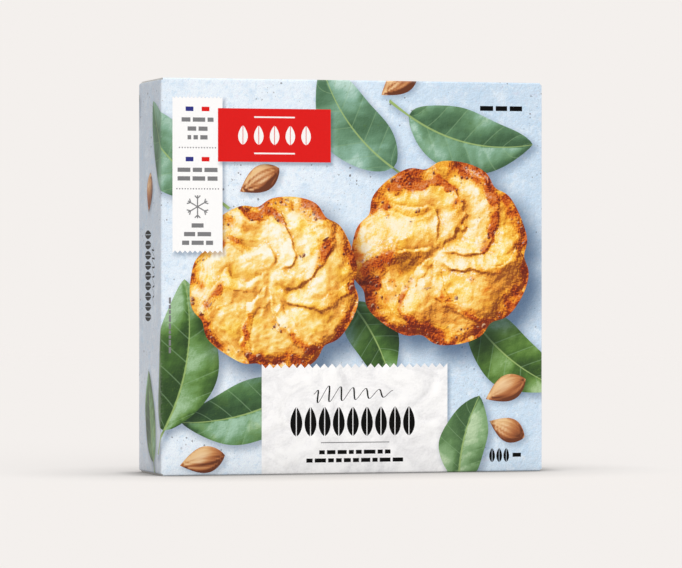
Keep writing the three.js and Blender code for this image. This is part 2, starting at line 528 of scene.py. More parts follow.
class Pastry:
    """A round puff pastry: petals of dough swirl out from its middle, each lapping over the next."""

    def __init__(self, spot, radius, seed, bake):
        rng = np.random.default_rng(seed)
        self.spot = spot
        self.radius = radius
        self.seed = seed
        self.bake = bake
        self.lobes = [(n, rng.uniform(0.008, 0.02), rng.uniform(0, 2 * math.pi)) for n in (2, 3, 5)]
        self.start = rng.uniform(0, 1)
        self.lift = rng.uniform(0.7, 1.3, PETALS)
        self.toast = rng.uniform(0, 1, PETALS)

    def ripples(self, points, size, kind):
        return ripples(points, size, np.random.default_rng((self.seed, kind)))

    def petals(self, angle, share):
        """Which petal lies at each place, and how far across it that is from its rolled edge."""
        turn = PETALS * (angle - TWIST * share ** 1.1) / (2 * math.pi) + self.start
        return np.floor(turn).astype(int) % PETALS, turn % 1.0

    def edge(self, angle):
        """The outline's radius at each angle: uneven, with a notch between each two petals."""
        uneven = 1 + sum(size * np.sin(count * angle + phase) for count, size, phase in self.lobes)
        across = self.petals(angle, np.ones(len(angle)))[1]
        notch = np.exp(-((np.minimum(across, 1 - across) / 0.14) ** 2))
        return self.radius * (uneven - 0.07 * notch)

    def form(self, points):
        """How far out each point is, its petal, and how far it is from that petal's two edges."""
        bent = columns(self.ripples(points, 30, 1), self.ripples(points, 30, 2))
        frayed = columns(self.ripples(points, 8, 3), self.ripples(points, 8, 4))
        moved = points + 2.2 * bent + 0.45 * frayed
        angle = np.arctan2(moved[:, 1], moved[:, 0])
        out = np.hypot(*moved.T)
        share = out / self.edge(angle)
        petal, across = self.petals(angle, share)
        width = 2 * math.pi * out / PETALS
        return share, petal, across * width, (1 - across) * width

    def height(self, points):
        share, petal, past_edge, before_next = self.form(points)
        top = 14 * np.clip(1 - share ** 2.8, 0, None) ** 0.65
        slope = 1 - smooth(past_edge / (past_edge + before_next), 0.0, 1.1)
        roll = np.sqrt(np.clip(1 - (past_edge / ROLL - 1) ** 2, 0, None))
        step = 2.6 * slope * smooth(past_edge, 0, 1.8)
        swirl = self.lift[petal] * smooth(share, 0.05, 0.3) * (step + 1.2 * roll)
        middle = -2.6 * np.exp(-((share * self.radius / 4) ** 2))
        lumps = 2.6 * self.ripples(points, 36, 11) + 0.50 * self.ripples(points, 15, 5)
        lumps += 0.14 * self.ripples(points, 6, 6)
        wrinkles = 0.30 * (1 - np.abs(self.ripples(points, 12, 7))) + 0.05 * self.ripples(points, 3, 8)
        return top + swirl + middle + lumps + wrinkles

    def browning(self, points):
        """How toasted the crust is: its rim and the petals' rolled edges most."""
        share, petal, past_edge, before_next = self.form(points)
        patch = 0.5 + 0.35 * self.ripples(points, 24, 9) + 0.25 * self.ripples(points, 9, 10)
        rolled = np.exp(-(((past_edge - ROLL) / 3.4) ** 2)) * smooth(share, 0.25, 0.7)
        brown = 0.85 * smooth(share, 0.76, 1.0) + 0.75 * rolled * (0.5 + self.toast[petal])
        brown = brown * (0.35 + 0.9 * np.clip(patch, 0, 1.3)) + 0.2 * smooth(patch, 0.8, 1.3)
        return np.clip(brown * (1 - 0.5 * np.exp(-before_next / 2)) + self.bake, 0, 1.2)

    def paint(self, blank_points):
        points = blank_points - np.array([self.spot.s, self.spot.z])
        lit, shine = relief_light(self.height, points, 0.72)
        share, _, _, before_next = self.form(points)
        under = np.exp(-before_next / 3.6) * smooth(share, 0.04, 0.2)
        lit = (0.13 + 0.85 * lit) * (1 - 0.42 * under) * (1 - 0.24 * smooth(share, 0.88, 1.0))
        angle = np.arctan2(points[:, 1], points[:, 0])
        around = columns(np.cos(angle), np.sin(angle), share)
        return around, columns(lit, self.browning(points), shine ** 30)


def pastry(spot, radius, seed, bake):
    """A printed pastry. Its own coordinates are the cosine and sine of the angle about its middle,
    and how far out it is."""
    form = Pastry(spot, radius, seed, bake)
    angle = np.linspace(0, 2 * math.pi, int(2 * math.pi * radius / 0.8), endpoint=False)
    rim = form.edge(angle)[:, None] * columns(np.cos(angle), np.sin(angle))
    return [Motif("pastry", rim + np.array([spot.s, spot.z]), form.paint, PASTRY_GRID, PASTRY_SHADOW)]


def almond(spot, length, width, seed):
    """An almond in its skin. Its own coordinates are t along it, v across it and its seed."""

    def half_width(t):
        return width / 2 * np.sin(math.pi * np.clip(t, 0, 1) ** 1.25) ** 0.75

    def coordinates(points):
        local = spot.back(points)
        t = local[:, 0] / length
        return t, local[:, 1] / np.maximum(half_width(t), 0.3)

    def height(points):
        t, v = coordinates(points)
        rng = np.random.default_rng(seed + 50)
        ridges = ripples(columns(3 * t, 6 * v), 3.0, rng, 16)
        body = np.sqrt(np.clip(1 - v ** 2, 0, 1)) * half_width(t)
        return body + 0.28 * ridges

    def paint(points):
        t, v = coordinates(points)
        lit, shine = relief_light(height, points, 0.8)
        flat = np.full(len(t), float(seed))
        return columns(t, np.clip(v, -1, 1), flat), columns(lit, shine ** 24, flat)

    t = np.linspace(0, 1, 26)
    outline = lens(spot, t * length, half_width(t), -half_width(t))
    return [Motif("nut", outline, paint, NUT_GRID, NUT_SHADOW)]


# Flat print: papers, bars and ornaments

def block(spot, width, height, ink, shadow=None):
    """A plain rectangle about its spot."""
    corners = [(-1, -1), (1, -1), (1, 1), (-1, 1)]
    outline = spot.onto([(width / 2 * x, height / 2 * y) for x, y in corners])
    return [Motif(ink, outline, shadow=shadow)]


def zigzag(from_x, to_x, y, pitch, rise):
    """Points along a pinked paper edge, from one end to the other."""
    count = 2 * max(1, round(abs(to_x - from_x) / pitch))
    xs = np.linspace(from_x, to_x, count + 1)
    return [(x, y - rise * (i % 2)) for i, x in enumerate(xs)]


def paper(spot, width, height, top=(0, 0), bottom=(0, 0), smoothness=0.0):
    """A white paper about its spot, with a pinked edge of (pitch, rise) at its top or bottom."""
    half_w, half_h = width / 2, height / 2

    def paint(points):
        flat = np.zeros(len(points))
        return np.zeros((len(points), 3)), columns(flat, flat + smoothness, flat)

    upper = [(half_w, half_h), (-half_w, half_h)]
    lower = [(-half_w, -half_h), (half_w, -half_h)]
    if top[0]:
        upper = zigzag(half_w, -half_w, half_h, *top)
    if bottom[0]:
        lower = [(x, -y) for x, y in zigzag(-half_w, half_w, half_h, *bottom)]
    return [Motif("white", spot.onto(lower + upper), paint, shadow=PAPER_SHADOW)]


def words(spot, length, height, ink, seed):
    """A line of plain bars where a line of small print would be, centred on its spot."""
    rng = np.random.default_rng(seed)
    gap = 0.55 * height
    sizes = []
    while sum(sizes) + gap * len(sizes) < length:
        sizes.append(height * rng.uniform(1.3, 3.4))
    sizes = np.array(sizes) * (length - gap * (len(sizes) - 1)) / sum(sizes)
    shapes = []
    place = -length / 2
    for size in sizes:
        shapes += block(spot.beside(place + size / 2), size, height, ink)
        place += size + gap
    return shapes


def dots(spot, length, pitch, size, ink):
    """A dotted rule."""
    places = np.arange(-length / 2, length / 2 + pitch / 2, pitch)
    return [dot for x in places for dot in block(spot.beside(x), size, size, ink)]


def grain(spot, width, height, ink):
    """An upright grain of corn, split down its middle."""
    slit = 0.035 * width
    t = np.linspace(0, 1, 15)
    side = slit + (width / 2 - slit) * np.sin(math.pi * t ** 0.85) ** 0.8
    shapes = []
    for sign in (-1, 1):
        curve = columns(sign * side, (t - 0.5) * height)
        straight = np.array([(sign * slit, height / 2), (sign * slit, -height / 2)])
        shapes.append(Motif(ink, spot.onto(np.concatenate([curve, straight])[:-1])))
    return shapes


def grain_row(spot, count, pitch, width, height, ink):
    """The carton's title ornament: a row of upright grains."""
    shapes = []
    for index in range(count):
        shapes += grain(spot.beside((index - (count - 1) / 2) * pitch), width, height, ink)
    return shapes


def flourish(spot, length, height, ink):
    """A slanted pen stroke that swings up and down and dies away."""
    t = np.linspace(0, 1, 120)
    swing = np.sin(2 * math.pi * 6.25 * t ** 0.88)
    rise = height / 2 * swing * smooth(t, 0, 0.07) * (1 - 0.66 * t)
    centre = columns((t - 0.5) * length + 0.34 * rise, rise)
    ahead = np.gradient(centre, axis=0)
    ahead /= np.linalg.norm(ahead, axis=1)[:, None]
    across = columns(-ahead[:, 1], ahead[:, 0])
    pen = 0.15 + 0.26 * np.clip(-ahead[:, 1:], 0, 1)
    outline = np.concatenate([centre + pen * across, (centre - pen * across)[::-1]])
    return [Motif(ink, spot.onto(outline))]


def snowflake(spot, radius, thickness, ink):
    """Three crossed bars with small branches, the usual sign for frozen food."""
    shapes = []
    for turn in (30, 90, 150):
        arm = Spot(spot.s, spot.z, spot.turn + turn)
        shapes += block(arm, 2 * radius, thickness, ink)
        for end in (-1, 1):
            for lean in (-1, 1):
                branch = 0.36 * radius
                twig = arm.beside(end * 0.84 * radius, lean * branch / 3, end * lean * 45)
                shapes += block(twig, branch, thickness, ink)
    return shapes


# The layout of each panel

def scatter(draw, *rows):
    """What draw makes at each row's s, z and turn, from the rest of the row."""
    return [motif for s, z, turn, *rest in rows for motif in draw(Spot(s, z, turn), *rest)]


def front_food():
    """Leaves, nuts and two pastries on the front, some running on over the creases."""
    leaves = scatter(leaf,
                     (20, 150, 126, 62, 31, 0.09, 1, 0, 0.9),
                     (28, 176, -12, 66, 31, -0.10, 2, 0, 0.55),
                     (-72, 136, 132, 62, 29, 0.06, 3, 0, 0.7),
                     (60, 78, -38, 60, 29, -0.08, 4, 0.45),
                     (-24, 44, 196, 66, 30, 0.08, 5, 0, 0.15),
                     (-96, 22, 82, 74, 32, -0.09, 6, 0.15),
                     (-2, 84, -62, 44, 24, 0.06, 7, 0.3))
    nuts = scatter(almond, (-58, 138, 30, 23, 13, 1), (68, 36, 25, 23, 13, 2),
                   (70, 25, -24, 20, 12, 3), (-88, 5, 12, 23, 13, 4), (14, 186, 35, 23, 13, 5))
    return leaves + nuts + scatter(pastry, (45, 108, 0, 46, 3, 0.22), (-40, 93, 0, 43, 8, 0.0))


def title(spot, size, ink, tall=14.4):
    """The title ornament with its pen stroke above it."""
    above = spot.beside(0, (tall / 2 + 6.3) * size)
    row = grain_row(spot, 9, 7.2 * size, 6.1 * size, tall * size, ink)
    return row + flourish(above, 40 * size, 9 * size, ink)


def label():
    """The white paper at the foot of the front, with the title on it."""
    shapes = paper(Spot(0.5, 27), 95, 54, top=(3.95, 2.1))
    shapes += title(Spot(-0.7, 25.6), 1.0, "black")
    shapes += block(Spot(0.5, 15.3), 35, 0.45, "grey")
    shapes += words(Spot(0.4, 10.6), 36.5, 2.0, "black", 11)
    shapes += words(Spot(0.4, 6.6), 49.5, 2.0, "black", 12)
    shapes += leaf(Spot(54, -5, 76), 44, 24, 0.06, 9, 0.8, 0.4)
    return shapes


def ticket():
    """The white paper strip at the upper left, in three fields."""
    middle = -79.2
    shapes = paper(Spot(middle, 146), 25, 76, top=(1.92, 0.8), bottom=(2.6, 1.25), smoothness=1.0)
    shapes += flag(Spot(middle, 178.0))
    shapes += ticket_lines(middle, (172.8, 16, 1), (168.4, 10, 2), (164.2, 10, 3))
    shapes += dots(Spot(middle, 159.2), 18, 1.38, 0.62, "grey")
    shapes += flag(Spot(middle, 153.6))
    shapes += ticket_lines(middle, (148.4, 20, 4), (144.2, 20, 5))
    shapes += dots(Spot(middle, 139.2), 20.6, 1.38, 0.62, "grey")
    shapes += snowflake(Spot(middle, 130.5), 5.6, 0.6, "grey")
    return shapes + ticket_lines(middle, (121.4, 6, 6), (117.2, 13.5, 7), (113.0, 15.5, 8))


def ticket_lines(middle, *rows):
    """Lines of small grey print, each from its height, length and seed."""
    return [bar for z, length, seed in rows for bar in words(Spot(middle, z), length, 2.1, "grey", seed)]


def flag(spot):
    """A small blue block and a small red one, a block's width apart."""
    shapes = block(Spot(spot.s - 4, spot.z), 3.9, 2.2, "blue")
    return shapes + block(Spot(spot.s + 4, spot.z), 3.9, 2.2, "red")


def plate(spot, width, height):
    """The red plate, with plain white ornaments."""
    shapes = block(spot, width, height, "red", PAPER_SHADOW)
    shapes += grain_row(spot, 5, 0.14 * width, 0.085 * width, 0.36 * height, "white_ink")
    for side in (-1, 1):
        shapes += block(spot.beside(0, side * 0.34 * height), 0.36 * width, 0.028 * height, "white_ink")
    return shapes


def front():
    shapes = front_food()
    shapes += ticket()
    shapes += plate(Spot(-40.5, 165.5), 57, 26)
    shapes += label()
    shapes += words(Spot(76, 180), 22, 2.4, "black", 21)
    shapes += grain_row(Spot(75, 8.2), 3, 3.7, 3.0, 7.0, "black")
    shapes += block(Spot(84.2, 8.2), 4.4, 2.0, "black")
    shapes += words(Spot(-93, 73, 90), 27, 1.1, "grey", 23)
    return shapes


def side_panel(name, seed):
    """A side panel: the title runs down it, with a nut above and a leaf below."""
    middle = PANEL[name].middle
    shapes = title(Spot(middle - 4, 97, -90), 0.70, "black", tall=18)
    shapes += almond(Spot(middle - 3, 128, 78), 20, 11.5, seed)
    return shapes + leaf(Spot(middle + 8, 6, 104), 46, 20, 0.05, seed + 3)


def back_panel():
    """The back: a large white paper with lines of small print, and a plate, leaves and nuts."""
    middle = PANEL["back"].middle
    shapes = scatter(leaf,
                     (middle - 60, 150, 118, 60, 26, 0.05, 31), (middle + 46, 158, 28, 60, 27, -0.05, 32),
                     (middle + 66, 60, -64, 58, 26, 0.05, 33), (middle - 60, 42, 222, 52, 24, -0.05, 34))
    shapes += scatter(almond, (middle - 88, 96, 70, 23, 13, 35), (middle + 74, 18, 20, 23, 13, 36))
    shapes += paper(Spot(middle, 88), 128, 120, top=(3.95, 2.1), bottom=(3.95, 2.1))
    shapes += title(Spot(middle, 122), 0.8, "black")
    shapes += plate(Spot(middle, 168), 46, 21)
    for row in range(11):
        shapes += words(Spot(middle, 104 - 6.2 * row), 104 - 18 * (row % 4 == 3), 2.0, "grey", 40 + row)
    return shapes


def end_panels():
    """Top and bottom: the title and a plate on the top, small print on the bottom."""
    turn = PANEL["front"].fold
    top = turn.end + turn.radius * QUARTER + turn.reach / 2
    bottom = HEIGHT - top
    shapes = leaf(Spot(58, top - 10, 24), 50, 22, 0.05, 51)
    shapes += leaf(Spot(-78, top + 16, -12), 46, 20, -0.05, 52)
    shapes += title(Spot(8, top - 4), 0.7, "black")
    shapes += plate(Spot(-58, top), 34, 15.5)
    shapes += paper(Spot(0, bottom), 70, 28)
    for row in range(4):
        shapes += words(Spot(0, bottom + 8 - 5.2 * row), 58, 1.8, "grey", 60 + row)
    return shapes


def all_motifs():
    sides = side_panel("left", 71) + side_panel("right", 81)
    return sides + back_panel() + end_panels() + front()


# The mesh

FINE_GRID = 1.5  # spacing of the mesh points over the front
COARSE_GRID = 3.2  # and over the rest of the print
BESIDE_FRONT = 4.0  # how far past the front's creases its fine grid runs
INNER_GRID = 12.0  # spacing over the unprinted face
INNER_MARGIN = 0.4  # how far inside the cut edge its points stay
LINE_STEP = 2.2  # longest mesh edge along a motif's outline
SHARP_ANGLE = 35  # degrees between two faces, past which their edge is shaded as sharp


def hex_grid(low, high, step):
    """Points of a triangular grid over a rectangle."""
    rows = np.arange(low[1], high[1], step * math.sqrt(3) / 2)
    points = []
    for index, z in enumerate(rows):
        s = np.arange(low[0] + (index % 2) * step / 2, high[0], step)
        points.append(columns(s, np.full(len(s), z)))
    return np.concatenate(points)


class Drawing:
    """Points and lines of the blank, gathered for its triangulation."""

    def __init__(self):
        self.points = []
        self.edges = []
        self.count = 0

    def add(self, points, closed=None):
        """Adds loose points, or with closed given a line through them."""
        start, count = self.count, len(points)
        self.points.append(np.asarray(points, float))
        self.count += count
        if closed is not None:
            self.edges += [(start + i, start + i + 1) for i in range(count - 1)]
        if closed:
            self.edges.append((start + count - 1, start))

    def all_points(self):
        return np.concatenate(self.points)

    def triangles(self):
        """The triangulation's points and its triangles, turned to face the printed side."""
        vectors = [Vector(point) for point in self.all_points()]
        found = delaunay_2d_cdt(vectors, self.edges, [], 0, 1e-5, True)
        points = np.array([tuple(v) for v in found[0]])
        corners = np.array(found[2])
        a, b, c = points[corners].transpose(1, 0, 2)
        area = (b[:, 0] - a[:, 0]) * (c[:, 1] - a[:, 1]) - (b[:, 1] - a[:, 1]) * (c[:, 0] - a[:, 0])
        corners[area < 0] = corners[area < 0][:, ::-1]
        keep = (np.abs(area) > 1e-7) & inside(points[corners].mean(1), OUTLINE)
        used, renumbered = np.unique(corners[keep], return_inverse=True)
        sources = [found[3][index] for index in used]
        return points[used], renumbered.reshape(-1, 3), sources


def clear_of(points, lines, gap):
    """The points that lie at least gap from every point of the lines."""
    tree = KDTree(len(lines))
    for index, (x, y) in enumerate(lines):
        tree.insert((x, y, 0), index)
    tree.balance()
    far = [tree.find((x, y, 0))[2] >= gap for x, y in points]
    return points[np.array(far, bool)]


def split_line(start, end, step):
    pieces = max(1, math.ceil(math.dist(start, end) / step))
    shares = np.linspace(0, 1, pieces + 1)[:, None]
    return np.array(start) + shares * (np.array(end) - np.array(start))


def printed_skin(motifs):
    """Triangles of the printed face, cut along every motif's outline."""
    drawing = Drawing()
    drawing.add(OUTLINE, closed=True)
    for start, end in crease_rows():
        drawing.add(split_line(start, end, ROW_STEP), closed=False)
    for motif in motifs:
        drawing.add(subdivided(motif.outline, LINE_STEP), closed=True)
    taken = drawing.all_points()
    for step, wanted in grids(motifs):
        grid = hex_grid(OUTLINE.min(0), OUTLINE.max(0), step)
        grid = grid[inside(grid, OUTLINE)]
        grid = clear_of(grid[wanted(grid)], taken, 0.5 * step)
        drawing.add(grid)
        taken = np.concatenate([taken, grid])
    return drawing.triangles()


def grids(motifs):
    """Each grid step, finest first, and the test for where it is wanted."""
    shaded = sorted({motif.spacing for motif in motifs if motif.spacing})

    def within(step):
        chosen = [motif.outline for motif in motifs if motif.spacing == step]
        return lambda points: np.any([inside(points, outline) for outline in chosen], 0)

    def beside_front(points):
        s, z = points.T
        return (np.abs(s) < CREASE_ARC + HALF + BESIDE_FRONT) & (z > 0) & (z < HEIGHT)

    steps = [(step, within(step)) for step in shaded]
    steps.append((FINE_GRID, beside_front))
    steps.append((COARSE_GRID, lambda points: np.ones(len(points), bool)))
    return steps


def border(corners):
    """Directed edges that only one triangle has."""
    edges = np.concatenate([corners[:, [0, 1]], corners[:, [1, 2]], corners[:, [2, 0]]])
    known = set(map(tuple, edges))
    return np.array([edge for edge in known if edge[::-1] not in known])


def inner_skin(points, rim):
    """Coarse triangles of the unprinted face, which share the printed face's border."""
    drawing = Drawing()
    used = np.unique(rim)
    place = {old: new for new, old in enumerate(used)}
    drawing.add(points[used])
    drawing.edges = [(place[a], place[b]) for a, b in rim]
    rows = [split_line(start, end, INNER_GRID)[1:-1] for start, end in crease_rows()]
    loose = np.concatenate(rows + [hex_grid(OUTLINE.min(0), OUTLINE.max(0), INNER_GRID)])
    drawing.add(loose[outline_distance(loose, OUTLINE) < -INNER_MARGIN])
    inner_points, corners, sources = drawing.triangles()
    match = {}
    for new, source in enumerate(sources):
        for old in source:
            if old < len(used):
                match[used[old]] = new
    return inner_points, corners, match


def owners_of(centres, motifs):
    """The topmost motif at each centre, or -1 for the bare ground."""
    owners = np.full(len(centres), -1)
    for index, motif in enumerate(motifs):
        owners[inside(centres, motif.outline)] = index
    return owners


def printed_shade(points, owners, motifs):
    """How dark the shadows printed at each corner are, from the motifs above it."""
    light = np.ones(len(points))
    for index, motif in enumerate(motifs):
        if motif.shadow:
            shift, blur, strength = motif.shadow
            cast = motif.outline + np.array(shift)
            rows = np.flatnonzero((owners < index) & near(points, cast, blur))
            distance = outline_distance(points[rows], cast)
            light[rows] *= 1 - strength * smooth(distance, blur, -0.6 * blur)
    return 1 - light


INKS = ("ground", "leaf", "pastry", "nut", "white", "red", "blue", "black", "grey", "white_ink", "board")


# Places for the bake: each chart is millimetres of the blank, scaled and moved into the unit square

IMAGE = 1024
CHART_GAP = 6
SHOWN_SCALE = 3.15  # pixels to a millimetre of the front and the sides
END_SCALE = 2.9
BACK_SCALE = 2.0
HIDDEN_SCALE = 0.36
INNER_CORNER = (600, 911)  # the pixel that the unprinted face's chart starts from
BOARD_PATCH = (965, 300)  # and the one that the patch of bare board starts from
BOARD_PATCH_SIZE = 24


def chart_uv(points, low, scale, corner):
    """Blank points to places in the image, from a chart's own low corner and its corner's pixels."""
    return ((points - np.array(low)) * scale + np.array(corner)) / IMAGE


def printed_uv(points, corners):
    """The printed face's charts: the sleeve's three shown panels, the back, both ends and the rest."""
    s, z = points[corners].mean(1).T
    on_sleeve = (z > HEIGHT - SLEEVE_END - CREASE_ARC / 2) & (z < SLEEVE_END + CREASE_ARC / 2)
    over_front = ~on_sleeve & (np.abs(s) <= HALF)
    back_end = PANEL["back_crease"].start
    second_row = HEIGHT * SHOWN_SCALE + 3 * CHART_GAP
    end_step = DEPTH * END_SCALE + CHART_GAP
    beside_back = WIDTH * BACK_SCALE + 2 * CHART_GAP
    low_end = OUTLINE[:, 1].min()
    charts = (
        (s < np.inf, OUTLINE.min(0), HIDDEN_SCALE, (beside_back, second_row + 2 * end_step + CHART_GAP)),
        (on_sleeve & (s > back_end) & (s < PANEL["right_crease"].stop), (back_end, 0), SHOWN_SCALE,
         (CHART_GAP, CHART_GAP)),
        (on_sleeve & (s <= back_end), (PANEL["back"].start, 0), BACK_SCALE, (CHART_GAP, second_row)),
        (over_front & (z > HEIGHT / 2), (-HALF, SLEEVE_END), END_SCALE, (beside_back, second_row)),
        (over_front & (z < HEIGHT / 2), (-HALF, low_end), END_SCALE, (beside_back, second_row + end_step)),
    )
    uv = np.zeros((*corners.shape, 2))
    for chosen, low, scale, corner in charts:
        uv[chosen] = chart_uv(points[corners[chosen]], low, scale, corner)
    return uv


def rim_uv(count):
    """Every cut edge shares one small patch of bare board."""
    patch = np.array([(0, 0), (1, 0), (1, 1), (0, 1)]) * BOARD_PATCH_SIZE + np.array(BOARD_PATCH)
    return np.tile(patch / IMAGE, (count, 1, 1))


def add_attribute(mesh, name, values, domain="CORNER"):
    """A number or a vector for each corner or point; corners past the last value get zero."""
    kind, key = ("FLOAT_VECTOR", "vector") if values.ndim > 1 else ("FLOAT", "value")
    attribute = mesh.attributes.new(name, kind, domain)
    missing = len(attribute.data) - len(values)
    padded = np.pad(values, [(0, missing)] + [(0, 0)] * (values.ndim - 1))
    attribute.data.foreach_set(key, padded.astype(np.float32).ravel())


def paint_corners(mesh, points, owners, motifs):
    """What the inks need at every corner of the printed face."""
    places = np.zeros((len(points), 3))
    tone = np.tile([1.0, 0.0, 0.0], (len(points), 1))
    for index, motif in enumerate(motifs):
        rows = owners == index
        if motif.paint and rows.any():
            places[rows], tone[rows] = motif.paint(points[rows])
    add_attribute(mesh, "motif", places)
    add_attribute(mesh, "tone", tone)
    add_attribute(mesh, "shade", printed_shade(points, owners, motifs))


def carton_mesh(motifs):
    """The folded blank as one closed mesh, with its inks and what they need on its corners."""
    points, corners, _ = printed_skin(motifs)
    rim = border(corners)
    inner_points, inner_corners, match = inner_skin(points, rim)
    inner_corners = inner_corners[:, ::-1]
    shift = len(points)
    quads = np.array([(b, a, match[a] + shift, match[b] + shift) for a, b in rim])
    faces = [tuple(face) for face in (*corners, *(inner_corners + shift), *quads)]
    mesh = bpy.data.meshes.new("carton_blank")
    places = np.concatenate([fold(points), fold(inner_points, BOARD)]) * MM
    mesh.from_pydata(places.tolist(), [], faces)

    owners = owners_of(points[corners].mean(1), motifs)
    ink_of = np.array([INKS.index(motif.ink) for motif in motifs] + [INKS.index("ground")])
    bare = np.full(len(faces) - len(corners), INKS.index("board"))
    inks = np.concatenate([ink_of[owners], bare])
    mesh.polygons.foreach_set("material_index", inks.astype(np.int32))
    paint_corners(mesh, points[corners].reshape(-1, 2), np.repeat(owners, 3), motifs)
    flat = np.pad(np.concatenate([points, inner_points]), ((0, 0), (0, 1)))
    add_attribute(mesh, "place", flat, "POINT")
    add_attribute(mesh, "wear", crease_wear(points), "POINT")

    uv = np.concatenate([
        printed_uv(points, corners).reshape(-1, 2),
        chart_uv(inner_points[inner_corners], OUTLINE.min(0), HIDDEN_SCALE, INNER_CORNER).reshape(-1, 2),
        rim_uv(len(quads)).reshape(-1, 2),
    ])
    mesh.uv_layers.new(name="OFBake").data.foreach_set("uv", uv.ravel())
    mesh.polygons.foreach_set("use_smooth", np.ones(len(faces), bool))
    mesh.set_sharp_from_angle(angle=math.radians(SHARP_ANGLE))
    mesh.validate()
    return mesh


# Inks

PRINTED_SHADOW = (0.14, 0.20, 0.29)
BAKED_SHADOW = (0.34, 0.19, 0.12)
BUMP_HEIGHT = 0.012 * MM
SPECULAR = 0.3


def display(red, green, blue):
    """A display colour, 0 to 255, as a linear one."""
    shares = np.array([red, green, blue]) / 255
    linear = np.where(shares <= 0.04045, shares / 12.92, ((shares + 0.055) / 1.055) ** 2.4)
    return (*(float(x) for x in linear), 1.0)


def add_node(tree, kind, inputs=(), **settings):
    """A shader node with its settings, and with its inputs set or linked."""
    made = tree.nodes.new("ShaderNode" + kind)
    for name, value in settings.items():
        setattr(made, name, value)
    for key, value in dict(inputs).items():
        if isinstance(value, Value):
            value = value.socket
        if isinstance(value, bpy.types.NodeSocket):
            tree.links.new(value, made.inputs[key])
        else:
            made.inputs[key].default_value = value
    return made


class Value:
    """A shader's number, which adds, subtracts and multiplies as a plain one does."""

    def __init__(self, socket):
        self.socket = socket

    def node(self, kind, inputs, **settings):
        return Value(add_node(self.socket.node.id_data, kind, inputs, **settings).outputs[0])

    def math(self, operation, other=0.0):
        return self.node("Math", {0: self, 1: other}, operation=operation)

    def __add__(self, other):
        return self.math("ADD", other)

    def __sub__(self, other):
        return self.math("SUBTRACT", other)

    def __mul__(self, other):
        return self.math("MULTIPLY", other)

    def between(self, low, high):
        """0 at low and 1 at high, eased."""
        return self.node("MapRange", {0: self, 1: low, 2: high}, interpolation_type="SMOOTHSTEP")


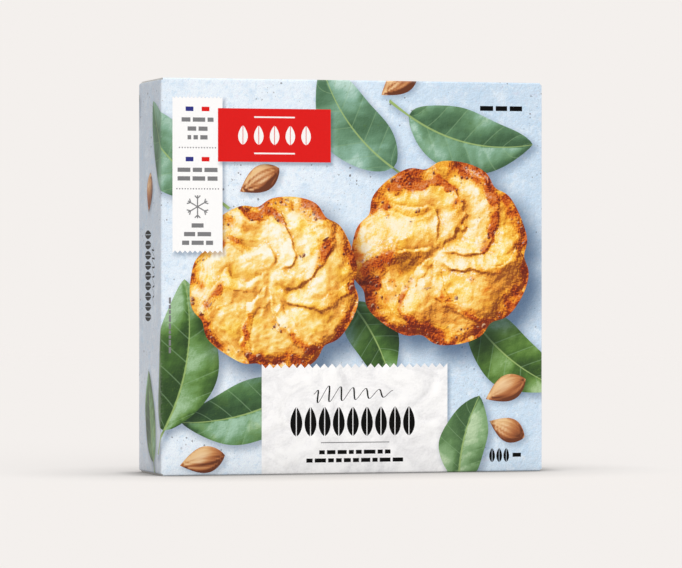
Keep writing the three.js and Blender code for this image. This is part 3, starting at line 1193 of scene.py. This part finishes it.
class Ink:
    """A node material: what the print shows, under the board's satin varnish."""

    def __init__(self, name):
        self.material = bpy.data.materials.new("print_" + name)
        self.material.use_nodes = True
        self.tree = self.material.node_tree
        self.tree.nodes.clear()
        self.place = self.attribute("place", "Vector")
        self.motif = self.attribute("motif", "Vector")
        self.tone = self.split(self.attribute("tone", "Vector"))
        self.shade = self.attribute("shade", "Fac")
        self.wear = Value(self.attribute("wear", "Fac"))

    def node(self, kind, inputs=(), **settings):
        return add_node(self.tree, kind, inputs, **settings)

    def attribute(self, name, output):
        return self.node("Attribute", attribute_name=name).outputs[output]

    def split(self, vector):
        return [Value(part) for part in self.node("SeparateXYZ", {0: vector}).outputs]

    def vector(self, operation, first, second):
        return self.node("VectorMath", {0: first, 1: second}, operation=operation).outputs[0]

    def moved(self, far):
        """The place on the blank, moved well away, for a pattern of its own."""
        return self.vector("ADD", self.place, (far, 1.7 * far, 0.6 * far))

    def nearer_light(self, here, reach):
        return self.vector("ADD", here, tuple(reach * part for part in PRINT_LIGHT_ACROSS))

    def ragged(self, size, amount, far=0.0):
        """The place on the blank, stirred a little, so that round cells become uneven ones."""
        here = self.moved(far)
        stir = self.node("TexNoise", {"Vector": here, "Scale": 1 / size}).outputs["Color"]
        return self.vector("ADD", here, self.vector("MULTIPLY", stir, (amount,) * 3))

    def noise(self, size, detail=2.0, roughness=0.5, vector=None, distortion=0.0):
        """Noise whose features are about size millimetres across."""
        inputs = {"Vector": vector or self.place, "Scale": 1 / size, "Detail": detail,
                  "Roughness": roughness, "Distortion": distortion}
        return Value(self.node("TexNoise", inputs).outputs["Fac"])

    def cells(self, size, vector):
        """How far each place is from the middle of its cell, and a random number for the cell."""
        made = self.node("TexVoronoi", {"Vector": vector, "Scale": 1 / size})
        return Value(made.outputs["Distance"]), self.split(made.outputs["Color"])[0]

    def emboss(self, size, gain, reach=0.35, far=0.0, distortion=0.5):
        """Fine relief as the print's own light shows it: noise less the same noise nearer the light."""
        here = self.moved(far)
        lighter = self.nearer_light(here, reach * size)
        level, next_level = (self.noise(size, 4, 0.6, where, distortion) for where in (here, lighter))
        return (level - next_level) * gain

    def blisters(self, size, crowd, far):
        """Small raised bubbles where crowd is high: how much each place is one, and its light."""
        here = self.ragged(size, 0.7 * size, far)
        distance, chance = self.cells(size, here)
        beyond, _ = self.cells(size, self.nearer_light(here, 0.2 * size))
        bump = distance.between(0.42, 0.16)
        picked = (crowd * 0.45 + chance).between(1.0, 1.08)
        return bump * picked, (bump - beyond.between(0.42, 0.16)) * picked

    def mix(self, share, first, second, blend="MIX"):
        inputs = {0: share, 6: first, 7: second}
        return self.node("Mix", inputs, data_type="RGBA", blend_type=blend).outputs[2]

    def covered(self, colour, share, *rgb):
        """A colour under a share of a display colour."""
        return self.mix(share, colour, display(*rgb))

    def times(self, colour, factor):
        return self.mix(1.0, colour, factor, "MULTIPLY")

    def ramp(self, value, *stops):
        """A colour ramp through stops, each a place and a display colour."""
        made = self.node("ValToRGB", {0: value})
        elements = made.color_ramp.elements
        while len(elements) < len(stops):
            elements.new(1.0)
        for element, (place, *rgb) in zip(elements, stops):
            element.position = place
            element.color = display(*rgb)
        return made.outputs["Color"]

    def finish(self, colour, roughness=0.36, bump=0.6, gloss=SPECULAR, shadow=PRINTED_SHADOW):
        """Adds printed shadows, wear on the creases and the varnished board's surface."""
        colour = self.times(colour, self.mix(self.shade, (1, 1, 1, 1), (*shadow, 1)))
        rubbed = self.wear * self.noise(1.1, 3).between(0.42, 0.72)
        colour = self.covered(colour, rubbed * 0.4, 236, 236, 232)
        satin = self.noise(9, 2) * 0.10 + (roughness - 0.05) + rubbed * 0.25
        grain = self.noise(7, 1) * 2.0 + self.noise(0.7, 3, 0.6)
        normal = self.node("Bump", {"Strength": bump, "Distance": BUMP_HEIGHT, "Height": grain})
        shader = self.node("BsdfPrincipled", {
            "Base Color": colour, "Roughness": satin, "Normal": normal.outputs[0],
            "Specular IOR Level": gloss})
        self.node("OutputMaterial", {"Surface": shader.outputs[0]})
        return self.material


def ground_ink():
    """Pale blue plastered stone, lightest at the left, with faint clouds, fine grain and pepper."""
    ink = Ink("ground")
    s, z, _ = ink.split(ink.place)
    value = (s * -1.0 + z * -0.06).between(-100, 70) + (ink.noise(38, 3, 0.55) * 0.9 - 0.45)
    # Painted light: the ground is lightened towards the carton's foot, to offset the real shade there. It
    # is also darker towards the front's far left edge.
    value = value + z.between(70, 0) * 0.3 - s.between(-72, -98) * 0.3
    colour = ink.ramp(value, (0.0, 203, 223, 241), (0.4, 216, 234, 250), (0.9, 236, 246, 255))
    # Painted shade: the ground on both side panels is greyed, as on a side in shade.
    sides = s.math("ABSOLUTE").between(HALF, HALF + CREASE_ARC)
    colour = ink.covered(colour, sides * 0.55, 198, 205, 217)
    for size, far, low, share, *tint in ((7, 0, 0.50, 0.40, 186, 214, 240),
                                         (9, 31, 0.50, 0.45, 240, 248, 255),
                                         (2.6, 43, 0.50, 0.38, 180, 212, 236),
                                         (2.2, 67, 0.52, 0.40, 242, 249, 255),
                                         (3.4, 57, 0.54, 0.30, 222, 216, 232)):
        patch = ink.noise(size, 4, 0.62, ink.moved(far), 0.4).between(low, low + 0.2)
        colour = ink.covered(colour, patch * share, *tint)
    grit = ink.emboss(2.2, 0.22) + ink.emboss(0.9, 0.24, far=11)
    grit = grit * (s.between(-70, 90) * 0.8 + 0.8)
    dust = ink.noise(0.5, 2, 0.6) * 0.44 + 0.78
    return ink.finish(pepper(ink, ink.times(colour, grit + dust)))


def pepper(ink, colour):
    """Small dark specks of uneven shape, gathered in loose drifts."""
    drift = ink.noise(15, 3, 0.6, ink.moved(83)).between(0.47, 0.60)
    around = ink.ragged(1.6, 1.0)
    for size, limit, share in ((1.5, 0.21, 0.5), (3.0, 0.19, 0.7), (6.5, 0.12, 0.85)):
        distance, chance = ink.cells(size, around)
        amount = distance.between(limit, limit * 0.5) * chance.between(0.45, 0.55) * drift
        colour = ink.covered(colour, amount * share, 74, 62, 66)
    return colour


def leaf_ink():
    """A leaf: its own light, a paler midrib and side veins, and mottled greens."""
    ink = Ink("leaf")
    t, v, off = ink.split(ink.motif)
    light, warmth, pale = ink.tone
    lit = light + (ink.noise(3.5, 4, 0.6) * 0.24 - 0.12) + ink.emboss(1.3, 0.30)
    green = ink.ramp(lit, (0.0, 34, 62, 30), (0.3, 58, 96, 44), (0.55, 86, 128, 64),
                     (0.75, 106, 150, 98), (1.0, 156, 196, 166))
    olive = ink.ramp(lit, (0.0, 54, 84, 30), (0.4, 98, 134, 48), (0.75, 140, 172, 82),
                     (1.0, 196, 214, 140))
    teal = ink.ramp(lit, (0.0, 72, 110, 78), (0.4, 108, 150, 120), (0.75, 146, 188, 170),
                    (1.0, 200, 228, 220))
    patch = ink.noise(16, 3, 0.6).between(0.50, 0.66)
    colour = ink.mix((patch * 0.4).math("MAXIMUM", warmth), green, olive)
    colour = ink.mix(pale, colour, teal)
    spots = ink.noise(1.8, 4, 0.7, ink.moved(19)).between(0.60, 0.70)
    colour = ink.covered(colour, spots * 0.35, 92, 124, 44)
    vein = (t * VEINS - v.math("ABSOLUTE") * VEIN_SLANT).math("PINGPONG", 0.5)
    colour = ink.covered(colour, vein.between(0.05, 0.0) * 0.36, 150, 186, 140)
    rib = off.math("ABSOLUTE").math("DIVIDE", t * -0.38 + 0.55).between(1.25, 0.7)
    return ink.finish(ink.covered(colour, rib * 0.75, 164, 190, 116))


def pastry_ink():
    """Baked puff pastry: golden where it is lit, toasted brown at its rim, with dark blisters."""
    ink = Ink("pastry")
    lit, brown, shine = ink.tone
    share = ink.split(ink.motif)[2]
    layers = ink.noise(1.0, 2, 0.5, ink.vector("MULTIPLY", ink.motif, (6, 6, 38))) - 0.5
    layers = layers * (share.between(0.6, 0.95) * 0.55 + 0.12)
    flakes = ink.emboss(4.5, 0.36, distortion=1.6) + ink.emboss(1.2, 0.34, far=7)
    crisp = ink.emboss(2.4, 1.5, far=17, distortion=2.5) * brown
    cluster = ink.noise(12, 2, 0.5, ink.moved(47)).between(0.61, 0.70)
    toasting = brown + (ink.noise(2.6, 4, 0.65) * 0.8 - 0.4) + cluster * 0.35
    lit = lit + crisp + (layers + flakes) - toasting.between(0.45, 1.0) * 0.12
    yellow = ink.ramp(lit, (0.10, 126, 58, 14), (0.34, 218, 142, 34), (0.52, 246, 188, 62),
                      (0.66, 253, 214, 92), (0.80, 255, 238, 156), (0.94, 255, 252, 228))
    cream = ink.ramp(lit, (0.10, 150, 80, 24), (0.34, 236, 160, 56), (0.54, 250, 206, 102),
                     (0.70, 254, 232, 162), (0.86, 255, 252, 234))
    creamy = ink.noise(17, 3, 0.55) - brown * 0.35
    toast = ink.ramp(toasting, (0.0, 255, 255, 255), (0.34, 255, 243, 220), (0.58, 253, 218, 160),
                     (0.84, 243, 178, 112), (1.0, 220, 136, 82))
    colour = ink.times(ink.mix(creamy.between(0.34, 0.50), yellow, cream), toast)
    crowd = (brown + ink.noise(10, 2)).between(0.82, 1.25).math("MAXIMUM", cluster * 1.2)
    for size, far, depth, gloss in ((4.8, 3, 0.85, 0.6), (2.9, 13, 0.9, 0.5), (1.7, 29, 0.5, 0.0)):
        bubble, rise = ink.blisters(size, crowd, far)
        colour = ink.covered(colour, bubble * depth, 176, 72, 22)
        colour = ink.covered(colour, bubble.between(0.45, 1.0) * depth, 96, 26, 12)
        colour = ink.covered(colour, rise.between(0.42, 0.85) * gloss, 255, 210, 164)
    glint = ink.noise(1.6, 3, 0.6, ink.moved(23), 0.8).between(0.46, 0.64)
    glint = glint * shine.between(0.10, 0.65) * (brown * -0.6 + 1.0)
    return ink.finish(ink.covered(colour, glint * 0.9, 255, 253, 242), shadow=BAKED_SHADOW)


def nut_ink():
    """An almond's ribbed brown skin."""
    ink = Ink("nut")
    lit, shine, _ = ink.tone
    ribs = ink.noise(1.0, 3, 0.6, ink.vector("MULTIPLY", ink.motif, (2.2, 7.5, 3.1)))
    colour = ink.ramp(lit + (ribs * 0.42 - 0.21), (0.15, 104, 52, 26), (0.45, 168, 98, 54),
                      (0.7, 204, 138, 82), (0.95, 238, 196, 140))
    return ink.finish(ink.covered(colour, shine * 0.4, 250, 226, 190))


def white_ink():
    """The printed papers: white with soft crumples."""
    ink = Ink("white")
    value = ink.noise(15, 5, 0.6, distortion=1.0) * 0.82 + ink.noise(1.3, 3, 0.6) * 0.18
    creased = ink.ramp(value, (0.34, 232, 232, 234), (0.48, 249, 249, 250), (0.60, 255, 255, 255))
    folds = ink.emboss(16, 0.42, 0.25, distortion=1.5) + ink.emboss(1.6, 0.18, far=5)
    smoothness = ink.tone[1]
    return ink.finish(ink.covered(ink.times(creased, folds + 1.0), smoothness, 255, 255, 255))


def flat_ink(name, *rgb, gloss=SPECULAR):
    """A solid ink that lies a little unevenly on the board."""
    ink = Ink(name)
    lay = ink.noise(1.2, 4, 0.7) * 0.16 + 0.92
    return ink.finish(ink.times(display(*rgb), lay), gloss=gloss)


def board_ink():
    """Bare board, as at the cut edges and inside: greyish white and fibrous."""
    ink = Ink("board")
    colour = ink.ramp(ink.noise(0.8, 5, 0.7), (0.3, 222, 219, 212), (0.7, 240, 238, 233))
    return ink.finish(colour, roughness=0.8, bump=1.0)


def all_inks():
    return {
        "ground": ground_ink(),
        "leaf": leaf_ink(),
        "pastry": pastry_ink(),
        "nut": nut_ink(),
        "white": white_ink(),
        "red": flat_ink("red", 225, 4, 0),
        "blue": flat_ink("blue", 42, 46, 132),
        "black": flat_ink("black", 4, 4, 4, gloss=0.1),
        "grey": flat_ink("grey", 126, 126, 128),
        "white_ink": flat_ink("white_ink", 252, 250, 248),
        "board": board_ink(),
    }


def make_carton():
    mesh = carton_mesh(all_motifs())
    inks = all_inks()
    for name in INKS:
        mesh.materials.append(inks[name])
    carton = bpy.data.objects.new("carton_blank", mesh)
    bpy.context.scene.collection.objects.link(carton)
    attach(carton, "root")
    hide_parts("carton")


# Floor, light and camera

FLOOR_RADIUS = 5.0
FLOOR_STEPS = 96
FLOOR_FADE = (1.8, 4.4)
FLOOR_PAINT = (0.852, 0.822, 0.802)
BACKDROP = display(244, 240, 237)
FLOOR_GLOW = 0.7  # the share of its brightness that the floor gives off itself, like a light table
CONTACT_SHADES = ((0.075, 0.68), (0.016, 0.9))  # painted shade on the floor near the carton: reach in metres and strength, wide and narrow
SKY = 0.44
SKY_COLOUR = (0.99, 0.99, 1.0, 1)
KEY_FROM = Vector((0.14, -0.47, 0.86))
KEY_STRENGTH = 2.26
KEY_ANGLE = 75  # degrees across, as of a large soft box
KEY_COLOUR = (1.0, 0.995, 0.98)


def place_object(name, data):
    made = bpy.data.objects.new(name, data)
    bpy.context.scene.collection.objects.link(made)
    return made


def contact_shade(tree):
    """Painted shade: the share of the floor's paint and glow kept close to what stands on it."""
    left = []
    for reach, strength in CONTACT_SHADES:
        nearness = add_node(tree, "AmbientOcclusion", {"Distance": reach}, samples=8)
        shade = add_node(tree, "MapRange", {"Value": nearness.outputs["AO"], "To Min": 1 - strength})
        left.append(Value(shade.outputs[0]))
    return left[0] * left[1]


def floor_material():
    """Pale, with painted shade where it meets the carton, and clear far from it."""
    material = bpy.data.materials.new("pale_floor")
    material.use_nodes = True
    tree = material.node_tree
    tree.nodes.clear()
    left = contact_shade(tree)
    # painted shade: the contact shade darkens both the floor's paint and its glow
    shaded_floor_paint = add_node(tree, "VectorMath", {0: FLOOR_PAINT, "Scale": left}, operation="SCALE")
    paint = add_node(tree, "BsdfDiffuse", {"Color": shaded_floor_paint.outputs[0]})
    glow = add_node(tree, "Emission", {"Color": BACKDROP, "Strength": left})
    lit = add_node(tree, "MixShader", {0: FLOOR_GLOW, 1: paint.outputs[0], 2: glow.outputs[0]})
    where = add_node(tree, "TexCoord").outputs["Object"]
    far = add_node(tree, "VectorMath", {0: where}, operation="LENGTH").outputs["Value"]
    fade = Value(far).between(*FLOOR_FADE)
    clear = add_node(tree, "BsdfTransparent")
    blend = add_node(tree, "MixShader", {0: fade, 1: lit.outputs[0], 2: clear.outputs[0]})
    add_node(tree, "OutputMaterial", {"Surface": blend.outputs[0]})
    return material


def make_floor():
    """A pale disc that fades into the backdrop far from the carton."""
    angles = (2 * math.pi * step / FLOOR_STEPS for step in range(FLOOR_STEPS))
    mesh = bpy.data.meshes.new("floor")
    mesh.from_pydata([(*(FLOOR_RADIUS * unit(a)), 0) for a in angles], [], [tuple(range(FLOOR_STEPS))])
    mesh.materials.append(floor_material())
    place_object("floor", mesh)


def make_light():
    """Even soft light from all round and one large soft key, high to the front and right. The camera
    sees an even pale backdrop."""
    world = bpy.data.worlds.new("studio")
    world.use_nodes = True
    tree = world.node_tree
    tree.nodes.clear()
    light = add_node(tree, "Background", {"Color": SKY_COLOUR, "Strength": SKY})
    seen = add_node(tree, "Background", {"Color": BACKDROP})
    camera_ray = add_node(tree, "LightPath").outputs["Is Camera Ray"]
    blend = add_node(tree, "MixShader", {0: camera_ray, 1: light.outputs[0], 2: seen.outputs[0]})
    add_node(tree, "OutputWorld", {"Surface": blend.outputs[0]})
    bpy.context.scene.world = world
    bpy.context.scene.view_settings.view_transform = "Standard"

    lamp = bpy.data.lights.new("soft_key", "SUN")
    lamp.energy = KEY_STRENGTH
    lamp.angle = math.radians(KEY_ANGLE)
    lamp.color = KEY_COLOUR
    place_object("soft_key", lamp).rotation_euler = KEY_FROM.to_track_quat("Z", "Y").to_euler()


CAMERA_AZIMUTH = 16.2  # degrees to the left of the front panel's middle
CAMERA_DISTANCE = 2.0
CAMERA_HEIGHT = 0.093
IMAGE_WIDTH = 682
FOCAL_PIXELS = 4030
SENSOR_WIDTH = 36.0


def make_camera():
    """Level, at about the carton's middle height, to the left of its front."""
    data = bpy.data.cameras.new("camera")
    data.sensor_width = SENSOR_WIDTH
    data.lens = SENSOR_WIDTH * FOCAL_PIXELS / IMAGE_WIDTH
    data.clip_start = 0.01
    data.clip_end = 100
    camera = place_object("camera", data)
    azimuth = math.radians(CAMERA_AZIMUTH)
    back = Vector((-math.sin(azimuth), -math.cos(azimuth), 0))
    camera.location = Vector((0, 0, CAMERA_HEIGHT)) + CAMERA_DISTANCE * back
    camera.rotation_euler = (QUARTER, 0, -azimuth)
    bpy.context.scene.camera = camera


make_camera()
make_light()
make_floor()
make_carton()
